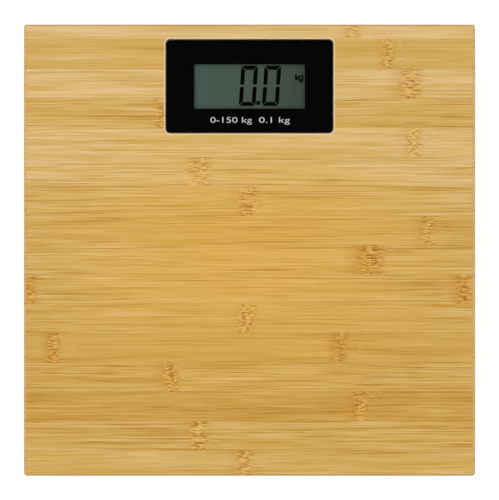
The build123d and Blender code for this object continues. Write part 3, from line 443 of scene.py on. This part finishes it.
    def fibre_colour(self):
        tone = self.by_strip(STRIP_TONES)
        tone = tone + self.buried * (0.35 + self.chance * 0.5 - tone)
        grain = ((self.fibre - 0.5) * 1.7 + (self.hair - 0.5) * 1.2) * self.strength
        tone = tone + (self.broad - 0.5) * 0.7 + grain - grain * grain * 1.1 + 0.1
        tone = tone + self.trail * (self.crinkle - 0.5) * 0.9
        colour = self.ramp(tone.clip(), WOOD_SHADES)
        heart_x = self.x / HEART_HALF_X
        heart_y = (self.y - HEART_Y) / HEART_HALF_Y
        heart = (1.25 - (heart_x * heart_x + heart_y * heart_y).root()).clip() * (0.5 + self.broad)
        colour = self.mix(heart * 0.65, colour, HEART_GOLD)
        colour = self.mix(self.streak * 0.78, colour, STREAK_BROWN)
        return self.mix(self.gleam * 0.25, colour, GLEAM_CREAM)

    def knuckle_colour(self, colour):
        dark = ((self.crinkle - 0.52) * 12).clip() * self.near * (0.55 + self.brown * 0.45)
        pale = ((0.48 - self.crinkle) * 12).clip() * self.near * (1.0 - self.brown * 0.5)
        colour = self.mix(self.shade * self.brown * 0.6, colour, SHADE_BROWN)
        colour = self.mix(self.near * (0.25 + self.brown * 0.5), colour, KNUCKLE_TAN)
        colour = self.mix(dark * 0.9, colour, KNUCKLE_DARK)
        return self.mix(pale * 0.8, colour, KNUCKLE_PALE)

    def edge_colour(self, colour):
        colour = self.mix(self.glue * 0.55, colour, GLUE_BROWN)
        colour = self.mix(self.at_end * 0.8, colour, self.end_grain())
        # Painted shade: the long sides and their rounded edges are painted darker brown, standing in for the
        # shade on them
        colour = self.mix(self.side_shade * 0.6, colour, SIDE_SHADE_BROWN)
        # Painted highlight: the bare-wood chamfer round the cut-out is painted near-white cream, standing in
        # for light caught there
        return self.mix(self.rim_highlight * 0.85, colour, RIM_HIGHLIGHT_CREAM)

    def end_grain(self):
        """Cut fibre ends: fine pores and darker bundles."""
        pores = self.node("ShaderNodeTexVoronoi", None,
                          {"Vector": self.vector(0.0, self.y / 0.75, self.z / 0.6), "Scale": 1.0})
        pore = (1.0 - pores * 1.9).clip()
        bundles = self.noise(self.vector(0.0, self.y / 1.6, self.z / 3.0), 1.0)
        bundle = ((bundles - 0.58) * 9).clip()
        colour = self.mix(pore * 0.6, END_TAN, END_PORE)
        colour = self.mix(bundle * 0.6, colour, END_BUNDLE)
        return self.mix(self.glue * 0.6, colour, END_GLUE)


# Display

def clear_acrylic():
    """A clear pane: a mirror at glancing angles, see-through elsewhere, with faint wipe marks."""
    pane = Finish("clear_acrylic", Metallic=1.0)
    pane.give("Base Color", (1.0, 1.0, 1.0, 1.0))
    wipe = pane.noise(pane.scaled(90.0), 3.0)
    pane.give("Roughness", 0.02 + (wipe - 0.4).most(0.0) * 0.08)
    fresnel = pane.node("ShaderNodeFresnel", None, {"IOR": 1.49})
    inner = pane.node("ShaderNodeNewGeometry", None, None, "Backfacing")
    through = pane.node("ShaderNodeBsdfTransparent", None, {0: (0.985, 0.99, 0.985, 1.0)})
    pane.surface(fresnel * (1 - inner), through, pane.principled())
    return pane.material


def black_print():
    """Gloss black ink on the back of the pane."""
    ink = Finish("black_print", Specular_IOR_Level=0.0)
    cloud = ink.noise(ink.scaled(60.0), 3.0)
    ink.give("Base Color", ink.mix(cloud, paint(3, 5, 4), paint(7, 9, 8)))
    ink.give("Roughness", 0.4 + cloud * 0.2)
    return ink.material


def white_print():
    """White ink, a little uneven."""
    ink = Finish("white_print")
    speck = ink.noise(ink.scaled(2500.0), 2.0)
    ink.give("Base Color", ink.mix(speck, paint(205, 208, 206), paint(235, 236, 234)))
    ink.give("Roughness", 0.45 + speck * 0.1)
    return ink.material


def display_film():
    """Grey-green film, a shade paler on the left."""
    film = Finish("display_film", Specular_IOR_Level=0.0)
    x = film.axes(film.millimetres())[0]
    along = (x / (2 * WINDOW_HALF_WIDTH) + 0.5).clip()
    grain = film.noise(film.scaled(3000.0), 2.0)
    shade = film.ramp(along + (grain - 0.5) * 0.15, [
        (0.0, paint(80, 96, 87)), (0.3, paint(78, 93, 83)),
        (0.6, paint(77, 91, 79)), (1.0, paint(67, 80, 70))])
    film.give("Base Color", shade)
    film.give("Roughness", 0.55 + (grain - 0.5) * 0.2)
    return film.material


def display_black():
    """The dark of a lit segment."""
    dark = Finish("display_black", Specular_IOR_Level=0.0)
    grain = dark.noise(dark.scaled(2500.0), 2.0)
    dark.give("Base Color", dark.mix(grain, paint(0, 2, 0), paint(4, 8, 4)))
    dark.give("Roughness", 0.5 + grain * 0.2)
    return dark.material


def display_glass():
    """Thin glass with a green edge."""
    glass = Finish("display_glass", Alpha=0.35, IOR=1.52)
    film = glass.noise(glass.scaled(150.0), 2.0)
    glass.give("Base Color", glass.mix(film, paint(196, 214, 205), paint(212, 226, 218)))
    glass.give("Roughness", 0.05 + film * 0.05)
    return glass.material


# Plastics and rubbers

def moulded(name, colour, roughness=0.5, grain=0.5, bump=0.25):
    """Moulded plastic with a fine spark texture and faint flow marks; grain is its size in millimetres."""
    plastic = Finish(name)
    spark = plastic.noise(plastic.scaled(1000.0 / grain), 3.0, 0.6)
    flow = plastic.noise(plastic.scaled(25.0), 2.0)
    deep = paint(*[level * 0.7 for level in colour])
    worn = paint(*[min(255, level * 1.25 + 6) for level in colour])
    plastic.give("Base Color", plastic.mix((spark * 1.4 + flow * 0.5 - 0.45).clip(), deep, worn))
    plastic.give("Roughness", roughness + (spark - 0.5) * 0.4 + (flow - 0.5) * 0.2)
    plastic.bump(spark, bump, 0.00008)
    return plastic.material


def rubber(name, colour, roughness=0.75):
    """Soft rubber: a dusty bloom over a fine matte grain."""
    soft = Finish(name, Specular_IOR_Level=0.3)
    bloom = soft.noise(soft.scaled(180.0), 4.0, 0.6)
    grain = soft.noise(soft.scaled(3500.0), 2.0)
    dust = paint(*[level + 0.22 * (190 - level) for level in colour])
    soft.give("Base Color", soft.mix(((bloom - 0.35) * 2.2).clip(), paint(*colour), dust))
    soft.give("Roughness", roughness + (grain - 0.5) * 0.2)
    soft.bump(grain * 0.6 + bloom * 0.4, 0.2, 0.00005)
    return soft.material


def insulation(name, colour):
    """Satin lead insulation with slight stretch marks."""
    skin = Finish(name)
    mark = skin.noise(skin.scaled(400.0), 3.0)
    skin.give("Base Color", skin.mix(mark, paint(*[level * 0.85 for level in colour]), paint(*colour)))
    skin.give("Roughness", 0.35 + mark * 0.15)
    skin.bump(mark, 0.1, 0.00003)
    return skin.material


def zebra_rubber():
    """Contact rubber: dark conducting bars in a pink body."""
    strip = Finish("zebra_rubber")
    x = strip.axes(strip.millimetres())[0]
    bars = ((x * 3.2).fraction() - 0.5).size()
    strip.give("Base Color", strip.mix((bars * 6 - 1).clip(), paint(40, 32, 32), paint(206, 150, 148)))
    strip.give("Roughness", 0.65 + bars * 0.2)
    return strip.material


# Metals, board and tape

def plated(name, colour, roughness, brush_x=1.0, brush_y=1.0):
    """Plated steel with fine rolling lines; the brush values stretch the lines."""
    metal = Finish(name, Metallic=1.0)
    x, y, z = metal.axes(metal.millimetres())
    lines = metal.noise(metal.vector(x * brush_x, y * brush_y, z * 4.0), 3.0, 0.6)
    haze = metal.noise(metal.scaled(120.0), 3.0)
    dull = paint(*[level * 0.86 for level in colour])
    metal.give("Base Color", metal.mix((lines * 0.6 + haze * 0.4).clip(), dull, paint(*colour)))
    metal.give("Roughness", roughness + (lines - 0.5) * 0.25 + (haze - 0.5) * 0.1)
    metal.bump(lines, 0.12, 0.00003)
    return metal.material


def circuit_green():
    """Solder mask over copper tracks."""
    mask = Finish("circuit_green")
    x, y = mask.axes(mask.millimetres())[:2]
    cells = mask.node("ShaderNodeTexVoronoi", {"feature": "DISTANCE_TO_EDGE"},
                      {"Vector": mask.vector(x / 5, y / 5, 0.0), "Scale": 1.0})
    track = (1.4 - cells * 12).clip()
    cloud = mask.noise(mask.scaled(80.0), 2.0)
    green = mask.mix(cloud, paint(18, 78, 42), paint(26, 96, 52))
    mask.give("Base Color", mask.mix(track * 0.5, green, paint(58, 132, 70)))
    mask.give("Roughness", 0.4 + cloud * 0.1)
    mask.bump(track, 0.3, 0.00004)
    return mask.material


def paper_tape():
    """Cream crepe tape, wrinkled across its length."""
    tape = Finish("paper_tape", Specular_IOR_Level=0.2)
    x, y, z = tape.axes(tape.millimetres())
    crepe = tape.noise(tape.vector(x / 0.9, y / 0.9, z), 3.0, 0.6)
    soil = tape.noise(tape.scaled(45.0), 3.0)
    cream = tape.mix(crepe, paint(196, 180, 138), paint(226, 212, 172))
    tape.give("Base Color", tape.mix((soil - 0.45).most(0.0) * 1.5, cream, paint(178, 158, 116)))
    tape.give("Roughness", 0.8 + (crepe - 0.5) * 0.2)
    tape.bump(crepe, 0.5, 0.00012)
    return tape.material


def finishes():
    """The material for each slot of the record."""
    return {
        "bamboo": Bamboo().material,
        "clear_acrylic": clear_acrylic(),
        "black_print": black_print(),
        "foam_tape": rubber("foam_tape", (34, 34, 35), 0.9),
        "black_abs": moulded("black_abs", (30, 31, 33), 0.5, 0.9, 0.6),
        "display_film": display_film(),
        "display_glass": display_glass(),
        "display_black": display_black(),
        "zebra_rubber": zebra_rubber(),
        "circuit_green": circuit_green(),
        "black_resin": moulded("black_resin", (22, 22, 23), 0.3, 2.0, 0.1),
        "chip_ceramic": moulded("chip_ceramic", (152, 128, 98), 0.6, 0.2, 0.1),
        "switch_plastic": moulded("switch_plastic", (48, 48, 50), 0.5, 0.3, 0.15),
        "button_grey": moulded("button_grey", (132, 135, 138), 0.5, 0.35, 0.25),
        "nickel": plated("nickel", (214, 211, 204), 0.25, 0.4, 3.0),
        "lead_red": insulation("lead_red", (176, 32, 28)),
        "lead_white": insulation("lead_white", (228, 226, 218)),
        "lead_black": insulation("lead_black", (34, 34, 35)),
        "solder": plated("solder", (204, 205, 204), 0.3),
        "paper_tape": paper_tape(),
        "zinc_steel": plated("zinc_steel", (196, 198, 200), 0.32, 3.0, 3.0),
        "cell_steel": plated("cell_steel", (176, 178, 182), 0.38, 0.25, 6.0),
        "white_silicone": rubber("white_silicone", (226, 226, 222), 0.5),
        "grey_rubber": rubber("grey_rubber", (86, 88, 91), 0.78),
    }


def dress(piece, material):
    """Gives a piece one material."""
    piece.data.materials.clear()
    piece.data.materials.append(material)


# Modelling helpers

def clear_selection():
    bpy.ops.object.select_all(action="DESELECT")


def settle(piece):
    """Moves a piece's place, turn and size into its mesh."""
    select_only(piece)
    bpy.ops.object.transform_apply(location=True, rotation=True, scale=True)


def new_block(name, centre, size):
    """A block to be shaped, centre and size in millimetres."""
    clear_selection()
    bpy.ops.mesh.primitive_cube_add(size=1.0, location=Vector(centre) * MM)
    piece = bpy.context.object
    piece.name = name
    piece.scale = Vector(size) * MM
    settle(piece)
    return piece


def pick(piece, kind, wanted):
    """In edit mode, selects the faces or edges for which wanted(part) is true."""
    shape = bmesh.from_edit_mesh(piece.data)
    bpy.ops.mesh.select_all(action="DESELECT")
    bpy.ops.mesh.select_mode(type=kind)
    for part in shape.faces if kind == "FACE" else shape.edges:
        part.select = wanted(part)
    shape.select_flush_mode()
    bmesh.update_edit_mesh(piece.data)


def middle_of(edge):
    return (edge.verts[0].co + edge.verts[1].co) / 2


def upright(edge):
    return abs((edge.verts[0].co - edge.verts[1].co).normalized().z) > 0.9


def select_only(piece):
    clear_selection()
    piece.select_set(True)
    bpy.context.view_layer.objects.active = piece


def edit(piece):
    """Opens a piece in edit mode."""
    select_only(piece)
    bpy.ops.object.mode_set(mode="EDIT")


def done():
    """Leaves edit mode and smooths all but the sharp edges."""
    bpy.ops.object.mode_set(mode="OBJECT")
    bpy.ops.object.shade_smooth_by_angle(angle=0.6)


def add_piece(piece, body, material):
    """Puts a new piece on a body, with a material."""
    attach(piece, body)
    dress(piece, material)


# Pieces

def clear_lens():
    """The pane over the display, with rounded corners and a polished rim."""
    bottom = PRINT_TOP + LENS_LIFT
    lens = new_block("clear_lens", (0, PANEL_CENTRE_Y, (bottom + PANEL_TOP) / 2),
                     (PANEL_WIDTH, PANEL_HEIGHT, PANEL_TOP - bottom))
    edit(lens)
    pick(lens, "EDGE", upright)
    bpy.ops.mesh.bevel(offset=PANEL_CORNER * MM, segments=12, affect="EDGES")
    top = PANEL_TOP * MM - 1e-6
    pick(lens, "EDGE", lambda edge: all(v.co.z > top for v in edge.verts) and len(edge.link_faces) == 2
         and any(abs(face.normal.z) < 0.5 for face in edge.link_faces))
    bpy.ops.mesh.bevel(offset=LENS_RIM * MM, segments=3, affect="EDGES")
    pick(lens, "FACE", lambda face: face.normal.z > 0.999)
    bpy.ops.mesh.inset(thickness=LENS_RIM * MM, depth=0.0)
    done()
    return lens


def lettering(name, words, left, right, foot, z, cap_height, weight):
    """Flat lettering as a mesh, between two X places with its foot at a Y place, in millimetres."""
    clear_selection()
    bpy.ops.object.text_add()
    piece = bpy.context.object
    piece.name = name
    piece.data.body = words
    piece.data.offset = weight
    piece.data.resolution_u = 4
    bpy.ops.object.convert(target="MESH")
    spots = [vertex.co for vertex in piece.data.vertices]
    start = min(spot.x for spot in spots)
    stretch = (right - left) / (max(spot.x for spot in spots) - start)
    rise = cap_height / max(spot.y for spot in spots)
    piece.scale = Vector((stretch, rise, 1.0)) * MM
    piece.location = Vector((left - start * stretch, foot, z)) * MM
    settle(piece)
    return piece


def lid_grip():
    """Three rounded ribs for the thumb, on the outside of the battery lid."""
    low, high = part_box("battery_lid")
    height = low.z / MM + (TRIM_SINK - RIB_STAND) / 2
    centre = ((low.x + high.x) / 2 / MM, low.y / MM + FIRST_RIB_INSET, height)
    rib = new_block("lid_grip", centre, (RIB_LENGTH, RIB_WIDTH, TRIM_SINK + RIB_STAND))
    edit(rib)
    pick(rib, "EDGE", upright)
    bpy.ops.mesh.bevel(offset=RIB_CORNER * MM, segments=4, affect="EDGES")
    under = low.z - 0.75 * RIB_STAND * MM
    pick(rib, "EDGE", lambda edge: middle_of(edge).z < under)
    bpy.ops.mesh.bevel(offset=RIB_EDGE * MM, segments=2, affect="EDGES")
    done()
    rows = rib.modifiers.new("rows", "ARRAY")
    rows.count = RIB_COUNT
    rows.use_relative_offset = False
    rows.use_constant_offset = True
    rows.constant_offset_displace = (0, RIB_PITCH * MM, 0)
    bpy.ops.object.modifier_apply(modifier="rows")
    return rib


def polarity_mark():
    """A raised plus sign on the battery lid: a small block with an arm drawn out of each side."""
    low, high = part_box("battery_lid")
    height = low.z / MM + (TRIM_SINK - PLUS_STAND) / 2
    centre = ((low.x + high.x) / 2 / MM, high.y / MM - PLUS_INSET, height)
    mark = new_block("polarity_mark", centre, (PLUS_BAR, PLUS_BAR, TRIM_SINK + PLUS_STAND))
    edit(mark)
    for axis in range(2):
        for sign in (1, -1):
            pick(mark, "FACE", lambda face: face.normal[axis] * sign > 0.9
                 and abs(face.calc_center_median()[1 - axis] - centre[1 - axis] * MM) < 0.1 * MM)
            reach = [0, 0, 0]
            reach[axis] = sign * PLUS_ARM * MM
            bpy.ops.mesh.extrude_region_move(TRANSFORM_OT_translate={"value": reach})
    done()
    return mark


def foot_pad(name, node):
    """A round rubber foot with a soft rim and two tread grooves."""
    low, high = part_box(node)
    centre = (low + high) / 2
    outside = (high.x - low.x) / 2
    clear_selection()
    bpy.ops.mesh.primitive_cylinder_add(vertices=PAD_SIDES, radius=outside, depth=high.z - low.z,
                                        location=centre)
    pad = bpy.context.object
    pad.name = name
    settle(pad)
    edit(pad)
    pick(pad, "FACE", lambda face: face.normal.z < -0.9)
    radius = outside
    for groove in TREAD_RADII:
        for wall, rise in ((groove + TREAD_HALF_MOUTH, 0.0), (groove + TREAD_HALF_FLOOR, TREAD_DEPTH),
                           (groove - TREAD_HALF_FLOOR, 0.0), (groove - TREAD_HALF_MOUTH, -TREAD_DEPTH)):
            bpy.ops.mesh.inset(thickness=radius - wall * MM, depth=0.0)
            radius = wall * MM
            if rise:
                bpy.ops.transform.translate(value=(0, 0, rise * MM))
    near_rim = outside - 0.1 * MM
    pick(pad, "EDGE", lambda edge: (middle_of(edge) - centre).xy.length > near_rim and not upright(edge))
    bpy.ops.mesh.bevel(offset=PAD_RIM * MM, segments=4, affect="EDGES")
    done()
    return pad


def dress_nodes(materials):
    """Gives each solid the material of its slot."""
    for row in frame["record"]["subparts"]:
        dress(frame["nodes"][row["node"]], materials[row["material_slot"]])


def add_details(materials):
    """The pieces that stand for, or sit on, the plain solids."""
    lens = clear_lens()
    add_piece(lens, "platform", materials["clear_acrylic"])
    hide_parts("display_lens")

    white = white_print()
    for name, words, left, right in RANGE_MARKS:
        mark = lettering(name, words, left, right, MARK_FOOT_Y, PRINT_TOP + MARK_LIFT,
                         MARK_CAP_HEIGHT, MARK_WEIGHT)
        add_piece(mark, "platform", white)
    unit = lettering("unit_mark", UNIT_WORDS, *UNIT_MARK_X, UNIT_MARK_FOOT_Y, FILM_TOP + UNIT_LIFT,
                     UNIT_CAP_HEIGHT, UNIT_WEIGHT)
    add_piece(unit, "platform", materials["display_black"])

    add_piece(lid_grip(), "battery_lid", materials["black_abs"])
    add_piece(polarity_mark(), "battery_lid", materials["button_grey"])
    for corner in ("front_left", "front_right", "rear_left", "rear_right"):
        pad = foot_pad("tread_pad_" + corner, "foot_pad_" + corner)
        add_piece(pad, "foot_" + corner, materials["grey_rubber"])
        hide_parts("foot_pad_" + corner)


# Stage

def ray_kind(nodes, *kinds):
    """1 for rays of any of these kinds, 0 for the rest."""
    found = nodes.node("ShaderNodeLightPath", None, None, kinds[0])
    for kind in kinds[1:]:
        found = found.most(nodes.node("ShaderNodeLightPath", None, None, kind))
    return found


def floor():
    """A white floor that keeps the object's shadow and is clear from below."""
    clear_selection()
    bpy.ops.mesh.primitive_plane_add(size=FLOOR_SIZE, location=(0, 0, -FLOOR_DROP))
    sheet = bpy.context.object
    sheet.name = "studio_floor"
    card = Finish("studio_white", Roughness=0.9, Specular_IOR_Level=0.0)
    seen = ray_kind(card, "Is Camera Ray", "Is Glossy Ray", "Is Transmission Ray")
    tooth = card.noise(card.scaled(3.0), 2.0)
    card.give("Base Color", card.mix(tooth, (0.6, 0.6, 0.6, 1.0), FLOOR_GREY))
    card.give("Emission Color", card.mix(seen, (0.0, 0.0, 0.0, 1.0), FLOOR_GREY))
    card.shader.inputs["Emission Strength"].default_value = 1.0
    under = card.node("ShaderNodeNewGeometry", None, None, "Backfacing")
    through = card.node("ShaderNodeBsdfTransparent")
    clear = under.most(ray_kind(card, "Is Shadow Ray"))
    card.surface(clear, card.principled(), through)
    dress(sheet, card.material)


def surroundings():
    """A white studio dome, dimmer in the light it gives, with a dark opening overhead."""
    world = bpy.data.worlds.new("studio")
    world.use_nodes = True
    bpy.context.scene.world = world
    sky = Nodes(world.node_tree)
    facing = sky.node("ShaderNodeTexCoord", None, None, "Generated")
    up = sky.axes(facing)[2]
    opening = ((up - DARK_OPENING) / 0.04).clip()
    mirrored = ray_kind(sky, "Is Glossy Ray", "Is Transmission Ray")
    level = (DOME_LIGHT + mirrored * (1 - DOME_LIGHT)) * (1 - opening * 0.985)
    level = level.most(ray_kind(sky, "Is Camera Ray"))
    sky.feed(world.node_tree.nodes["Background"].inputs["Color"], sky.vector(level, level, level))


def soft_lamp(name, place, power, size):
    """A round lamp that faces the object and isn't seen by the camera."""
    clear_selection()
    bpy.ops.object.light_add(type="AREA", location=place)
    lamp = bpy.context.object
    lamp.name = name
    lamp.data.shape = "DISK"
    lamp.data.energy = power
    lamp.data.size = size
    lamp.visible_camera = False
    lamp.rotation_euler = Vector(place).to_track_quat("Z", "Y").to_euler()


def photo_camera():
    """Straight down on the platform, framed as in the photograph."""
    pixel = 2 * BOARD_HALF * MM / BOARD_SPAN_PX
    distance = pixel * PHOTO_SIDE_PX * LENS_MM / SENSOR_MM
    clear_selection()
    place = (0, PHOTO_DROP_PX * pixel, BOARD_TOP * MM + distance)
    bpy.ops.object.camera_add(location=place, rotation=(0, 0, 0))
    camera = bpy.context.object
    camera.data.lens = LENS_MM
    camera.data.sensor_width = SENSOR_MM
    bpy.context.scene.camera = camera


photo_camera()
clear_selection()
slot_finishes = finishes()
dress_nodes(slot_finishes)
add_details(slot_finishes)
floor()
surroundings()
for lamp in LAMPS:
    soft_lamp(*lamp)
bpy.context.scene.view_settings.view_transform = "Standard"
